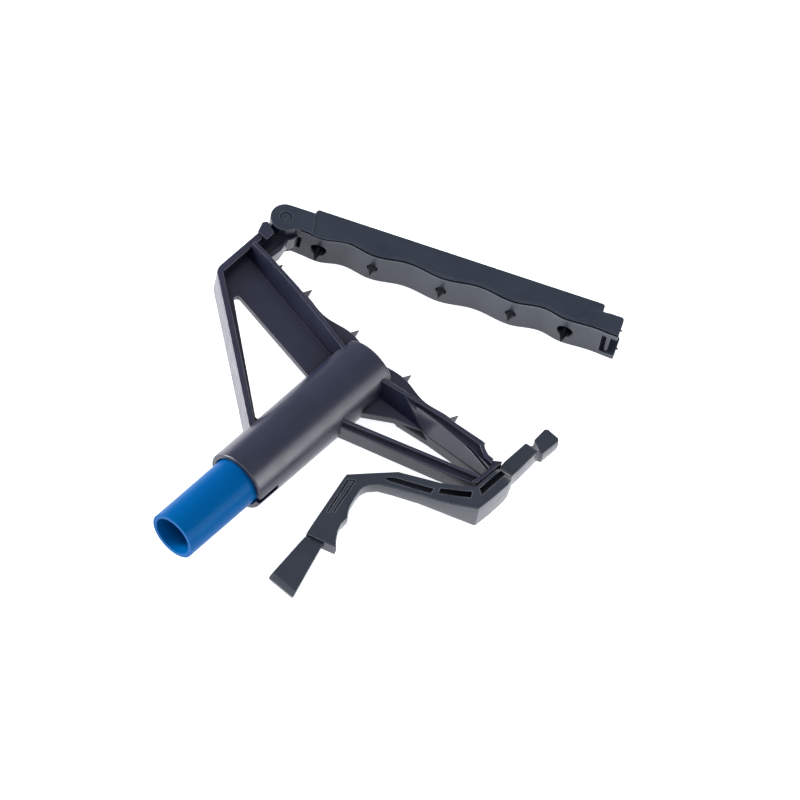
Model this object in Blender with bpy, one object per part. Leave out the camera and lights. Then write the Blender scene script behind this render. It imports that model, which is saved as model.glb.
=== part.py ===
"""Quick-change mop holder head with a hinged gripping jaw, a squeeze trigger and a scraper blade.

Design frame, in millimetres: the jaw's hinge axis is the origin, +X runs from the hinge end to
the trigger end, +Y runs along the handle towards the jaw, and +Z is the front of the head, with
z = 0 on the moulding's mid-plane. The head lies on its back, and "datum" moves the design frame
so that the model's origin is under the middle of the whole part, on the surface it lies on.
"""
import math

import bmesh
import bpy
from mathutils import Matrix, Vector

MM = 0.001
GAP = 0.3                      # running and assembly gap between separate pieces

# Where the model's origin lies in the design frame
ORIGIN_X = 84.45
ORIGIN_Y = -44.286

# Handle and socket collar
HANDLE_X = 82.0                # axis of the handle, which is the middle of the gripping width
HANDLE_R = 12.7                # 1 inch tube
HANDLE_WALL = 2.4
HANDLE_TOP = -46.0
HANDLE_CUT = -167.0
COLLAR_R = 16.0
COLLAR_TOP = -27.0
COLLAR_MOUTH = -122.0
COLLAR_FILLET = 1.6
SLOT_LENGTH = 13.0             # relief slot in the mouth, on the trigger side
SLOT_WIDTH = 4.0
SCREW_Y = -104.0
SCREW_R = 1.5
SCREW_HEAD_R = 3.6
ROUND = 64                     # facets of the collar and the handle

# Frame
RIM_Z = 10.0                   # half depth of the gripping arms
CORE_Z = 5.0                   # half depth of the wavy core and of the solid arm and brace
WEB_Z = 1.5                    # half depth of the thin webs
GUSSET_Z = (-3.2, 1.5)
ARM_ROOT_Z = (-4.9, -1.1)
STRUT_Z = 8.0                  # half depth of the post and the strut
BRACE_Z = 8.0
RIM_WIDTH = 2.1
POST_X = -2.3
STRUT_WIDTH = 3.6
TOOTH_TIP_Y = -15.0
LAST_TOOTH_X = 145.0
LAST_TOOTH_TIP_Y = -16.6
TOOTH_BASE = 4.8
TOOTH_OFFSETS = (17.3, 48.5, 67.9)

# Jaw, in its own frame: u along the jaw, v across it, away from the frame
JAW_OPEN = 25.5                # degrees between the jaw and the frame at rest
JAW_Z = 10.0
LOBE_R = 7.5
STRAP_V = 7.6
STRAP_U = 12.6
BACK_V = 10.2
BACK_U = 160.0
HOLLOW_U = (16.5, 156.0)
PRONG_U = 171.0
PRONG_V = 6.0
FORK_U = 163.2
FORK_Z = 7.0
CLEVIS_U = 10.3
CLEVIS_Z = 4.6
TONGUE_Z = 4.3
WALL = 2.5
PLATE = 2.6
PIN_R = 2.75
STUD_U = (19.5, 145.0)
SPIKE_U = (47.0, 82.0, 117.5)
SPIKE_BASE = 4.4
RIB_U = (32.5, 47.0, 64.0, 82.0, 99.5, 117.5, 132.0)
RIB = 1.8
RIB_TOP_V = 7.0
SPIKE_TIP_V = -10.9
STUD_TIP_V = -12.8
STUD_HOLE_R = 3.8
STUD_BOSS_R = 5.6
STUD_SHANK_R = 1.8
JAW_WAVE = ((9.0, -5.0), (19.5, -5.9), (32.5, -3.6), (47.0, -5.8), (64.0, -3.6), (82.0, -5.8),
            (99.5, -3.6), (117.5, -5.8), (132.0, -3.6), (145.0, -5.8), (158.0, -5.2), (171.0, -5.9))

# Trigger lever
PIVOT = (169.7, -39.0)
LUG_R = 3.8
LUG_Z = (-2.4, 0.5)
LEVER_POCKET_Z = (-5.2, 0.8)
PIVOT_PIN_R = 1.75
PIVOT_PIN_Z = (-7.2, 1.5)
SPRING_WIRE_R = 0.4
SPRING_R = 2.9
BLADE_Z = (-0.5, 1.7)

# Each section across the lever: the inner edge, the outer edge and half the depth
LEVER_SECTIONS = (
    ((126.4, -120.4), (141.6, -115.4), 3.6),
    ((125.7, -118.0), (138.8, -112.6), 3.6),
    ((124.5, -113.3), (135.6, -108.0), 3.6),
    ((123.3, -108.3), (134.0, -103.8), 3.6),
    ((122.2, -103.7), (133.8, -99.0), 3.6),
    ((121.5, -100.8), (132.0, -96.8), 3.6),
    ((120.6, -97.0), (130.2, -93.4), 3.6),
    ((119.2, -91.2), (128.6, -88.2), 3.6),
    ((117.6, -84.4), (127.4, -82.6), 3.6),
    ((117.0, -81.5), (128.3, -78.6), 3.6),
    ((125.0, -71.8), (131.6, -74.4), 3.6),
    ((133.2, -62.2), (137.6, -70.8), 3.7),
    ((144.5, -56.0), (149.6, -64.4), 4.2),
    ((151.5, -52.4), (158.0, -60.6), 4.7),
    ((160.0, -46.9), (167.4, -55.9), 6.2),
    ((165.9, -43.2), (175.6, -51.4), 8.0),
    ((165.9, -37.0), (176.1, -42.0), 8.0),
    ((165.9, -30.8), (175.9, -31.2), 7.8),
    ((165.9, -27.9), (175.2, -27.4), 7.2),
    ((165.8, -26.4), (173.8, -25.8), 5.7),
    ((165.6, -24.2), (173.1, -23.4), 5.4),
    ((165.1, -21.0), (173.1, -20.0), 5.4),
    ((165.0, -6.2), (172.3, -6.2), 5.35),
    ((165.5, -5.6), (172.1, -5.6), 5.3),
    ((168.0, -5.1), (172.1, -5.1), 5.2),
    ((168.0, -2.2), (172.8, -4.4), 4.3),
    ((166.2, -0.8), (174.5, -3.9), 4.0),
    ((165.6, 7.2), (174.8, 7.4), 4.0),
    ((166.6, 8.6), (173.6, 8.6), 4.0),
)
SLOT_A = ((130.8, -69.9), (134.2, -69.2), (152.4, -60.4), (152.0, -57.0), (134.0, -66.0))
SLOT_B = ((155.0, -57.6), (168.5, -49.2), (166.7, -46.2), (153.9, -54.6))
SLOT_C = ((168.0, -42.7), (171.3, -44.6), (171.0, -26.6), (167.9, -26.4))


def clear_scene():
    for item in list(bpy.data.objects):
        bpy.data.objects.remove(item, do_unlink=True)


def plastic(name, colour, roughness, metallic=0.0):
    material = bpy.data.materials.new(name)
    material.use_nodes = True
    shader = material.node_tree.nodes["Principled BSDF"]
    shader.inputs["Base Color"].default_value = (*colour, 1.0)
    shader.inputs["Roughness"].default_value = roughness
    shader.inputs["Metallic"].default_value = metallic
    return material


def arc(centre, radius, start, end, steps):
    """Points on a circle from one angle to another, in degrees, both ends included."""
    points = []
    for i in range(steps + 1):
        angle = math.radians(start + (end - start) * i / steps)
        points.append((centre[0] + radius * math.cos(angle), centre[1] + radius * math.sin(angle)))
    return points


def filleted(corners, steps=4):
    """A closed outline from (x, y, radius) corners, with each corner replaced by an arc."""
    outline = []
    count = len(corners)
    for i, (x, y, radius) in enumerate(corners):
        here = Vector((x, y))
        if radius <= 0.0:
            outline.append((x, y))
            continue
        before = (Vector(corners[i - 1][:2]) - here).normalized()
        after = (Vector(corners[(i + 1) % count][:2]) - here).normalized()
        half = before.angle(after) / 2.0
        centre = here + (before + after).normalized() * radius / math.sin(half)
        start = here + before * radius / math.tan(half) - centre
        end = here + after * radius / math.tan(half) - centre
        turn = start.angle_signed(end)
        for k in range(steps + 1):
            spot = centre + Matrix.Rotation(-turn * k / steps, 2) @ start
            outline.append((spot.x, spot.y))
    return outline


def wave(knots, x):
    """Height of a wavy face whose crests and valleys are the knots, with rounded turns."""
    for (x0, y0), (x1, y1) in zip(knots, knots[1:]):
        if x <= x1:
            part = (x - x0) / (x1 - x0)
            return y0 + (y1 - y0) * (1.0 - math.cos(math.pi * part)) / 2.0
    return knots[-1][1]


def spread(start, end, count):
    return [start + (end - start) * i / count for i in range(count + 1)]


def stack(levels):
    """Closed solid through outlines of equal length, given as (z, outline) from back to front."""
    shape = bmesh.new()
    rings = []
    for z, outline in levels:
        rings.append([shape.verts.new((x, y, z)) for x, y in outline])
    for low, high in zip(rings, rings[1:]):
        for i in range(len(low)):
            j = (i + 1) % len(low)
            shape.faces.new((low[i], low[j], high[j], high[i]))
    shape.faces.new(list(reversed(rings[0])))
    shape.faces.new(rings[-1])
    bmesh.ops.recalc_face_normals(shape, faces=shape.faces)
    return shape


def prism(outline, low, high):
    return stack(((low, outline), (high, outline)))


def turned(profile, steps=ROUND):
    """Solid of revolution about the Z axis from an (r, z) profile that closes on the axis."""
    shape = bmesh.new()
    rings = []
    for radius, z in profile:
        if radius == 0.0:
            rings.append([shape.verts.new((0.0, 0.0, z))])
            continue
        circle = arc((0.0, 0.0), radius, 0.0, 360.0 - 360.0 / steps, steps - 1)
        rings.append([shape.verts.new((x, y, z)) for x, y in circle])
    for low, high in zip(rings, rings[1:]):
        for i in range(steps):
            j = (i + 1) % steps
            corners = [low[i % len(low)], low[j % len(low)], high[j % len(high)], high[i % len(high)]]
            shape.faces.new(list(dict.fromkeys(corners)))
    bmesh.ops.recalc_face_normals(shape, faces=shape.faces)
    return shape


def tube(outer, inner, low, high, steps=ROUND):
    """Plain hollow cylinder along the Z axis."""
    shape = bmesh.new()
    rings = []
    for radius, z in ((outer, low), (outer, high), (inner, high), (inner, low)):
        circle = arc((0.0, 0.0), radius, 0.0, 360.0 - 360.0 / steps, steps - 1)
        rings.append([shape.verts.new((x, y, z)) for x, y in circle])
    for k in range(4):
        low_ring = rings[k]
        high_ring = rings[(k + 1) % 4]
        for i in range(steps):
            j = (i + 1) % steps
            shape.faces.new((low_ring[i], low_ring[j], high_ring[j], high_ring[i]))
    bmesh.ops.recalc_face_normals(shape, faces=shape.faces)
    return shape


def hull(points):
    shape = bmesh.new()
    for point in points:
        shape.verts.new(point)
    bmesh.ops.convex_hull(shape, input=shape.verts)
    bmesh.ops.recalc_face_normals(shape, faces=shape.faces)
    return shape


def along_y(shape, centre_x, base_y, centre_z=0.0):
    """Lay a solid made along Z along +Y instead."""
    turn = Matrix.Rotation(math.radians(-90.0), 4, "X")
    shape.transform(Matrix.Translation((centre_x, base_y, centre_z)) @ turn)
    return shape


def moved(shape, x, y, z=0.0):
    shape.transform(Matrix.Translation((x, y, z)))
    return shape


def spike(x, y, base_y, tip_y, size, z=0.0):
    """Four-sided pyramid that stands along Y, with its base sunk into the plate."""
    half = size / 2.0
    corners = [(x + dx, base_y, z + dz) for dx in (-half, half) for dz in (-half, half)]
    return hull(corners + [(x, tip_y, z)])


def object_from(name, shape, material, origin=(0.0, 0.0)):
    """Make an object from a shape in design millimetres, with its own origin on the given axis."""
    shape.transform(Matrix.Scale(MM, 4) @ Matrix.Translation((-origin[0], -origin[1], 0.0)))
    mesh = bpy.data.meshes.new(name)
    shape.to_mesh(mesh)
    shape.free()
    item = bpy.data.objects.new(name, mesh)
    item.data.materials.append(material)
    item.location = (origin[0] * MM, origin[1] * MM, 0.0)
    bpy.context.scene.collection.objects.link(item)
    return item


def combine(item, operation, shapes):
    """Join shapes to the item, or cut them from it. The shapes are in design millimetres."""
    for shape in shapes:
        tool = object_from("tool", shape, item.data.materials[0])
        step = item.modifiers.new("step", "BOOLEAN")
        step.operation = operation
        step.solver = "EXACT"
        step.object = tool
        bpy.context.view_layer.update()
        result = item.evaluated_get(bpy.context.evaluated_depsgraph_get())
        mesh = bpy.data.meshes.new_from_object(result)
        item.modifiers.clear()
        item.data = mesh
        bpy.data.objects.remove(tool, do_unlink=True)


def smooth(item, angle=35.0):
    item.data.shade_smooth()
    item.data.set_sharp_from_angle(angle=math.radians(angle))


# Socket collar and frame

# Straight front rim of each arm, as its upper edge
LEFT_RIM = ((-1.0, -20.6), (12.0, -21.8), (31.4, -24.4), (47.0, -27.5), (70.0, -32.3))
RIGHT_RIM = ((94.0, -32.3), (117.0, -27.6), (133.0, -25.2), (152.0, -22.6), (155.3, -25.0),
             (158.6, -26.4), (162.0, -26.2), (165.3, -23.4))
# Lower edge of each arm on the mid-plane
LEFT_BASE = ((-1.0, -25.3), (12.0, -27.4), (31.4, -30.7), (47.0, -33.2), (70.0, -37.1))
CORE_WAVE = ((-1.0, -21.5), (14.0, -21.9), (33.5, -22.1), (49.0, -24.4), (64.7, -22.0),
             (82.0, -24.4), (99.3, -22.0), (115.0, -24.4), (130.5, -22.1), (150.0, -23.2),
             (165.0, -27.0))


def collar():
    top = COLLAR_TOP - COLLAR_MOUTH
    profile = [(0.0, 0.0), (COLLAR_R - 0.8, 0.0), (COLLAR_R, 0.8)]
    for radius, z in arc((COLLAR_R - COLLAR_FILLET, top - COLLAR_FILLET), COLLAR_FILLET, 0.0, 90.0, 4):
        profile.append((radius, z))
    profile.append((0.0, top))
    return along_y(turned(profile), HANDLE_X, COLLAR_MOUTH)


def left_arm():
    """Gripping arm whose lower side slopes from the front and back rims to the web."""
    outer = list(LEFT_RIM) + [(x, y - RIM_WIDTH) for x, y in reversed(LEFT_RIM)]
    inner = list(LEFT_RIM) + list(reversed(LEFT_BASE))
    return stack(((-RIM_Z, outer), (-WEB_Z, inner), (WEB_Z, inner), (RIM_Z, outer)))


def right_rim():
    lower = [(x, y - RIM_WIDTH) for x, y in RIGHT_RIM[:3]]
    lower += [(152.0, -25.6), (158.0, -28.8), (165.2, -29.2)]
    return prism(list(RIGHT_RIM) + list(reversed(lower)), -RIM_Z, RIM_Z)


def right_wall():
    """Wall under the right rim, from the collar to the solid end of the arm."""
    inner = ((94.0, -31.2), (108.0, -29.0), (126.0, -28.0), (126.0, -35.2), (97.8, -37.2), (94.0, -37.5))
    outer = ((94.0, -31.2), (104.0, -29.6), (107.6, -29.2), (107.6, -31.4), (97.8, -33.4), (94.0, -34.1))
    return stack(((-RIM_Z + 0.4, outer), (-WEB_Z, inner), (WEB_Z, inner), (RIM_Z - 0.4, outer)))


def right_rim_end():
    """The rim slims down towards the trigger, so that the stem's root is no deeper than it."""
    return prism(((159.5, -20.0), (167.0, -20.0), (167.0, -32.0), (164.0, -32.0)), BRACE_Z, RIM_Z + 1.0)


def core():
    """Wavy gripping core that carries the teeth, and the solid end of the right arm."""
    top = [(x, wave(CORE_WAVE, x)) for x in spread(2.0, 154.0, 48)]
    low = [(160.0, -27.4), (164.6, -27.4), (164.6, -29.6), (130.0, -29.6), (110.2, -31.0),
           (96.0, -30.0), (82.0, -30.0), (66.0, -31.5), (47.0, -28.6), (12.0, -23.4), (2.0, -22.8)]
    return prism(top + low, -CORE_Z, CORE_Z)


def left_web():
    outline = ((-2.0, -24.0), (70.0, -36.0), (70.0, -96.5), (-2.0, -43.0))
    return prism(outline, -WEB_Z, WEB_Z)


def left_opening():
    corners = ((6.0, -43.9, 1.9), (66.3, -90.9, 1.5), (66.3, -53.4, 1.5))
    return prism(filleted(corners), -RIM_Z, RIM_Z)


def post_and_strut():
    half = STRUT_WIDTH / 2.0
    slope = Vector((67.0 - 0.0, -96.0 + 44.3)).normalized()
    across = Vector((-slope.y, slope.x)) * half
    end = Vector((70.0, -98.3))
    corners = (
        (POST_X - half, -9.0, 0.0),
        (POST_X - half, -45.0, 4.5),
        (end.x - across.x, end.y - across.y, 0.0),
        (end.x + across.x, end.y + across.y, 0.0),
        (POST_X + half, -43.6, 1.2),
        (POST_X + half, -9.0, 0.0),
    )
    return prism(filleted(corners), -STRUT_Z, STRUT_Z)


def ear():
    corners = ((-4.1, -15.6, 0.8), (2.0, -15.6, 0.5), (1.8, -9.6, 1.4), (-1.4, -8.7, 0.8),
               (-4.9, -7.5, 1.0), (-6.3, -9.8, 1.3))
    return prism(filleted(corners, 3), -RIM_Z + 0.8, RIM_Z - 0.8)


def tongue():
    """Knuckle that the jaw's clevis straddles."""
    outline = arc((0.0, 0.0), 6.9, 205.0, 32.0, 14)
    outline += arc((0.0, 0.0), 9.6, 12.0, -36.0, 6)
    outline += [(9.3, -12.6), (8.8, -20.0), (8.8, -23.0), (-1.0, -24.0), (-3.6, -18.0), (-4.1, -10.0)]
    return prism(list(reversed(outline)), -TONGUE_Z, TONGUE_Z)


def gusset():
    """Thick web in the corner between the collar and the right arm."""
    outline = ((94.0, -30.0), (124.0, -30.0), (130.0, -34.4), (127.6, -34.9), (110.8, -40.6),
               (97.9, -49.7), (94.0, -52.6))
    return prism(outline, *GUSSET_Z)


def arm_root():
    """Back half of the solid arm, which runs on behind the gusset."""
    outline = ((108.0, -32.0), (130.0, -32.0), (130.0, -36.8), (112.4, -39.8), (108.0, -38.4))
    return prism(outline, *ARM_ROOT_Z)


def solid_arm():
    """Solid end of the right arm, whose front slopes back from the rim to its lower edge."""
    rim = ((107.0, -30.0), (117.0, -28.4), (133.0, -26.2), (152.0, -24.6), (164.6, -27.6))
    full = list(rim) + [(164.6, -33.4), (129.4, -36.8), (106.6, -31.8)]
    slim = list(rim) + [(164.6, -28.9), (129.4, -29.0), (106.6, -30.8)]
    return stack(((-CORE_Z, full), (2.6, full), (6.4, slim)))


def brace_rim():
    outline = ((92.0, -63.2), (163.4, -36.6), (163.4, -38.4), (92.0, -65.1))
    return prism(outline, -BRACE_Z, BRACE_Z)


def brace_core():
    outline = ((92.0, -63.8), (163.8, -37.2), (163.8, -41.2), (146.5, -48.0), (92.0, -67.0))
    return prism(outline, -CORE_Z, CORE_Z)


def end_wall():
    outline = ((163.0, -26.2), (165.4, -24.0), (165.4, -37.0), (164.9, -41.4), (162.4, -41.6),
               (163.0, -37.0))
    return prism(outline, -BRACE_Z + 0.5, BRACE_Z - 0.5)


def lug():
    """Root of the trigger's hinge, which reaches inside the lever."""
    x, y = PIVOT
    outline = [(164.0, y - 3.0)] + arc(PIVOT, LUG_R, -90.0 - 38.0, 90.0 + 38.0, 12) + [(164.0, y + 3.0)]
    return prism(outline, *LUG_Z)


def frame_cuts():
    depth = HANDLE_TOP + GAP - COLLAR_MOUTH
    bore = along_y(turned(((0.0, -2.0), (HANDLE_R + GAP, -2.0), (HANDLE_R + GAP, depth), (0.0, depth))),
                   HANDLE_X, COLLAR_MOUTH)
    edge = HANDLE_X + COLLAR_R
    half = SLOT_WIDTH / 2.0
    mouth = COLLAR_MOUTH
    slot = hull([(x, y, z) for x in (edge - 6.0, edge + 2.0) for y in (mouth - 2.0, mouth + SLOT_LENGTH)
                 for z in (-half, half)])
    hinge = prism(list(arc((0.0, 0.0), PIN_R + GAP, 0.0, 345.0, 23)), -RIM_Z, RIM_Z)
    pivot = prism(list(arc(PIVOT, PIVOT_PIN_R + GAP, 0.0, 345.0, 23)), -RIM_Z, RIM_Z)
    head = SCREW_HEAD_R + GAP
    shank = SCREW_R + GAP
    seat = turned(((0.0, -20.0), (head, -20.0), (head, -14.6), (shank, -12.6), (shank, -8.0), (0.0, -8.0)), 24)
    return [bore, slot, hinge, pivot, moved(seat, HANDLE_X, SCREW_Y)]


def teeth():
    shapes = []
    for side in (-1.0, 1.0):
        for offset in TOOTH_OFFSETS:
            x = HANDLE_X + side * offset
            base = wave(CORE_WAVE, x) - 1.0
            tip = LAST_TOOTH_TIP_Y if x > LAST_TOOTH_X else TOOTH_TIP_Y
            shapes.append(spike(x, 0.0, base, tip, TOOTH_BASE))
    return shapes


def head_frame(material):
    item = object_from("head_frame", collar(), material)
    solids = [left_arm(), right_rim(), right_wall(), core(), left_web(), post_and_strut(), ear(),
              tongue(), gusset(), arm_root(), solid_arm(), brace_rim(), brace_core(), end_wall(), lug()]
    combine(item, "UNION", solids)
    combine(item, "UNION", teeth())
    combine(item, "DIFFERENCE", [left_opening(), right_rim_end()] + frame_cuts())
    smooth(item)
    return item


# Gripping jaw, built in its own frame and turned to its rest angle

def jaw_outline():
    wavy = [(u, wave(JAW_WAVE, u)) for u in spread(CLEVIS_U, PRONG_U, 44)]
    lobe = arc((0.0, 0.0), LOBE_R, 88.0, 290.0, 18)
    back = filleted(((PRONG_U, -3.0, 0.0), (PRONG_U, PRONG_V, 1.8), (BACK_U, PRONG_V, 0.0),
                     (BACK_U, BACK_V, 1.6), (STRAP_U + 0.8, BACK_V, 1.4), (STRAP_U, STRAP_V, 0.4)), 3)
    return lobe + [(6.3, -4.7)] + wavy + back


def jaw_hollow():
    """Channel that is open at the back of the jaw and closed at both ends."""
    first, last = HOLLOW_U
    floor = [(u, wave(JAW_WAVE, u) + PLATE) for u in spread(first, last, 36)]
    return prism(floor + [(last, BACK_V + 3.0), (first, BACK_V + 3.0)],
                 -JAW_Z + WALL, JAW_Z - WALL)


def jaw_box(u0, u1, v0, v1, z0, z1):
    return hull([(u, v, z) for u in (u0, u1) for v in (v0, v1) for z in (z0, z1)])


def upright(shape, u, v):
    """Lay a solid made along Z along +V at a place on the jaw."""
    return along_y(shape, u, v)


def gripping_jaw(material):
    item = object_from("gripping_jaw", prism(jaw_outline(), -JAW_Z, JAW_Z), material)
    hinge = prism(arc((0.0, 0.0), PIN_R + GAP, 0.0, 345.0, 23), -2.0 * JAW_Z, 2.0 * JAW_Z)
    clevis = jaw_box(-LOBE_R - 2.0, CLEVIS_U, -12.0, 12.0, -CLEVIS_Z, CLEVIS_Z)
    fork = jaw_box(FORK_U, PRONG_U + 2.0, -12.0, 12.0, -FORK_Z, FORK_Z)
    combine(item, "DIFFERENCE", [jaw_hollow(), clevis, fork, hinge])
    bosses = [upright(turned(((0.0, 0.0), (STUD_BOSS_R, 0.0), (STUD_BOSS_R, 8.4), (0.0, 8.4)), 24), u, -4.6)
              for u in STUD_U]
    ribs = [jaw_box(u - RIB / 2.0, u + RIB / 2.0, -3.0, RIB_TOP_V, -JAW_Z + 1.0, JAW_Z - 1.0)
            for u in RIB_U]
    spikes = [spike(u, 0.0, wave(JAW_WAVE, u) + 1.0, SPIKE_TIP_V, SPIKE_BASE) for u in SPIKE_U]
    catch = jaw_box(165.4, 167.4, -5.0, -2.8, -FORK_Z - 1.0, FORK_Z + 1.0)
    combine(item, "UNION", bosses + ribs + spikes + [catch])
    wide = [upright(turned(((0.0, 0.0), (STUD_HOLE_R, 0.0), (STUD_HOLE_R, 7.0), (0.0, 7.0)), 24), u, -8.5)
            for u in STUD_U]
    shank = STUD_SHANK_R + GAP
    narrow = [upright(turned(((0.0, 0.0), (shank, 0.0), (shank, 6.2), (0.0, 6.2)), 24), u, -3.5)
              for u in STUD_U]
    combine(item, "DIFFERENCE", wide + narrow)
    smooth(item)
    return item


def end_stud(name, u, material):
    """Pointed stud with a cross-ribbed point on a round shank."""
    item = object_from(name, upright(turned(((0.0, 0.0), (STUD_SHANK_R, 0.0), (STUD_SHANK_R, 4.4),
                                             (0.0, 4.4)), 24), u, -2.4), material)
    flange = upright(turned(((0.0, 0.0), (3.1, 0.0), (3.1, 1.0), (0.0, 1.0)), 24), u, -2.9)
    fins = []
    for half_u, half_z in ((2.5, 0.6), (0.6, 2.5)):
        base = [(u + a * half_u, v, b * half_z) for a in (-1, 1) for b in (-1, 1) for v in (-2.2, -5.2)]
        fins.append(hull(base + [(u, STUD_TIP_V, 0.0)]))
    point = spike(u, 0.0, -2.4, STUD_TIP_V, 3.4)
    combine(item, "UNION", [flange, point] + fins)
    smooth(item)
    return item


def round_pin(name, radius, low, high, chamfer, material):
    profile = ((0.0, low), (radius - chamfer, low), (radius, low + chamfer), (radius, high - chamfer),
               (radius - chamfer, high), (0.0, high))
    item = object_from(name, turned(profile, 24), material)
    smooth(item)
    return item


# Trigger lever

def lever_body():
    """Ribbon of sections from the grip's foot to the hook's head."""
    shape = bmesh.new()
    rings = []
    for inner, outer, half in LEVER_SECTIONS:
        rings.append([shape.verts.new((*point, z)) for point, z in
                      ((inner, -half), (outer, -half), (outer, half), (inner, half))])
    for low, high in zip(rings, rings[1:]):
        for i in range(4):
            j = (i + 1) % 4
            shape.faces.new((low[i], low[j], high[j], high[i]))
    shape.faces.new(list(reversed(rings[0])))
    shape.faces.new(rings[-1])
    bmesh.ops.triangulate(shape, faces=shape.faces)
    bmesh.ops.recalc_face_normals(shape, faces=shape.faces)
    return shape


def trigger_lever(material):
    item = object_from("trigger_lever", lever_body(), material, PIVOT)
    pockets = [prism(SLOT_A, 1.0, 20.0), prism(SLOT_B, 1.0, 20.0), prism(SLOT_C, 3.2, 20.0)]
    x, y = PIVOT
    seat = [(160.0, y - 3.9)] + arc(PIVOT, LUG_R + 0.6, -115.0, 115.0, 16) + [(160.0, y + 3.9)]
    pocket = prism(seat, *LEVER_POCKET_Z)
    bore = prism(arc(PIVOT, PIVOT_PIN_R + GAP, 0.0, 345.0, 23), -20.0, PIVOT_PIN_Z[1] + GAP)
    slit = prism(tang_outline(GAP), BLADE_Z[0] - GAP, BLADE_Z[1] + GAP)
    combine(item, "DIFFERENCE", [slit, pocket, bore] + pockets)
    smooth(item)
    return item


def tang_outline(margin):
    """Part of the blade that is held in the grip's slit, which reaches out through the grip's foot."""
    return ((129.6 - margin, -112.6 + margin), (128.4 - margin, -124.0), (136.2 + margin, -124.0),
            (134.4 + margin, -111.0 + margin))


def scraper_blade(material):
    low, high = BLADE_Z
    corners = ((126.4, -121.0, 0.8), (129.8, -150.3, 0.8), (145.6, -149.9, 0.8), (135.6, -118.6, 0.8))
    item = object_from("scraper_blade", prism(filleted(corners), low, high), material, PIVOT)
    combine(item, "UNION", [prism(tang_outline(0.0), low, high)])
    wedge = hull([(x, y, z) for x, y, z in (
        (120.0, -152.0, high + 1.0), (150.0, -152.0, high + 1.0), (120.0, -152.0, high - 1.4),
        (150.0, -152.0, high - 1.4), (120.0, -146.6, high + 0.02), (150.0, -146.6, high + 0.02),
        (120.0, -146.6, high + 1.0), (150.0, -146.6, high + 1.0))])
    combine(item, "DIFFERENCE", [wedge])
    return item


def return_spring(material):
    """Two-turn torsion spring round the pivot pin, with a leg on the frame and one in the lever."""
    curve = bpy.data.curves.new("lever_return_spring", "CURVE")
    curve.dimensions = "3D"
    curve.bevel_depth = SPRING_WIRE_R * MM
    curve.bevel_resolution = 1
    curve.use_fill_caps = True
    steps = 32
    path = [(-3.7, SPRING_R, -4.5)]
    for i in range(steps + 1):
        angle = math.radians(90.0 - 750.0 * i / steps)
        path.append((SPRING_R * math.cos(angle), SPRING_R * math.sin(angle), -4.5 + 1.5 * i / steps))
    spline = curve.splines.new("POLY")
    spline.points.add(len(path) - 1)
    for point, (x, y, z) in zip(spline.points, path):
        point.co = (x * MM, y * MM, z * MM, 1.0)
    item = bpy.data.objects.new("lever_return_spring", curve)
    item.location = (PIVOT[0] * MM, PIVOT[1] * MM, 0.0)
    item.data.materials.append(material)
    bpy.context.scene.collection.objects.link(item)
    return item


# Handle and its screw

def handle_tube(material):
    length = HANDLE_TOP - HANDLE_CUT
    shape = along_y(tube(HANDLE_R, HANDLE_R - HANDLE_WALL, 0.0, length), HANDLE_X, HANDLE_CUT)
    item = object_from("handle_tube", shape, material)
    hole = prism(arc((HANDLE_X, SCREW_Y), SCREW_R + GAP, 0.0, 345.0, 23), -20.0, -6.0)
    combine(item, "DIFFERENCE", [hole])
    smooth(item)
    return item


def handle_screw(material):
    head = SCREW_HEAD_R
    profile = ((0.0, -15.7), (head, -15.7), (head, -14.9), (SCREW_R, -12.9), (SCREW_R, -5.4),
               (0.4, -3.6), (0.0, -3.6))
    item = object_from("handle_screw", moved(turned(profile, 24), HANDLE_X, SCREW_Y), material)
    cross = []
    for half_x, half_y in ((2.0, 0.45), (0.45, 2.0)):
        cross.append(hull([(HANDLE_X + a * half_x, SCREW_Y + b * half_y, z)
                           for a in (-1, 1) for b in (-1, 1) for z in (-17.0, -14.6)]))
    combine(item, "DIFFERENCE", cross)
    smooth(item)
    return item


def build():
    clear_scene()
    charcoal = plastic("charcoal_plastic", (0.045, 0.052, 0.07), 0.42)
    jaw_plastic = plastic("jaw_plastic", (0.045, 0.052, 0.07), 0.45)
    lever_plastic = plastic("lever_plastic", (0.045, 0.052, 0.07), 0.4)
    blue = plastic("blue_fibreglass", (0.0, 0.14, 0.45), 0.25)
    steel = plastic("zinc_steel", (0.55, 0.56, 0.58), 0.35, 1.0)
    pin_plastic = plastic("pin_plastic", (0.05, 0.057, 0.075), 0.45)

    datum = bpy.data.objects.new("datum", None)
    datum.location = (-ORIGIN_X * MM, -ORIGIN_Y * MM, COLLAR_R * MM)
    bpy.context.scene.collection.objects.link(datum)

    fixed = [head_frame(charcoal), handle_tube(blue), handle_screw(steel)]
    swinging = [gripping_jaw(jaw_plastic), end_stud("end_stud_hinge_side", STUD_U[0], jaw_plastic),
                end_stud("end_stud_latch_side", STUD_U[1], jaw_plastic),
                round_pin("jaw_hinge_pin", PIN_R, -JAW_Z + 0.2, JAW_Z - 0.2, 0.3, pin_plastic)]
    pulled = [trigger_lever(lever_plastic), scraper_blade(lever_plastic)]
    pivot_pin = round_pin("lever_pivot_pin", PIVOT_PIN_R, PIVOT_PIN_Z[0], PIVOT_PIN_Z[1], 0.2, steel)
    pivot_pin.location = (PIVOT[0] * MM, PIVOT[1] * MM, 0.0)
    for item in fixed + swinging + pulled + [pivot_pin, return_spring(steel)]:
        item.parent = datum
    for item in swinging:
        item.rotation_euler = (0.0, 0.0, math.radians(JAW_OPEN))


build()
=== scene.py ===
"""Looks of the quick-change mop holder head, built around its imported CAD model.

Every piece is made in the design frame of the CAD, in millimetres: the jaw's hinge axis is the
origin, +X runs to the trigger end, +Y along the handle to the jaw, and +Z is the head's front.
"""
import math

import bmesh
import bpy
from mathutils import Matrix, Vector

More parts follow.
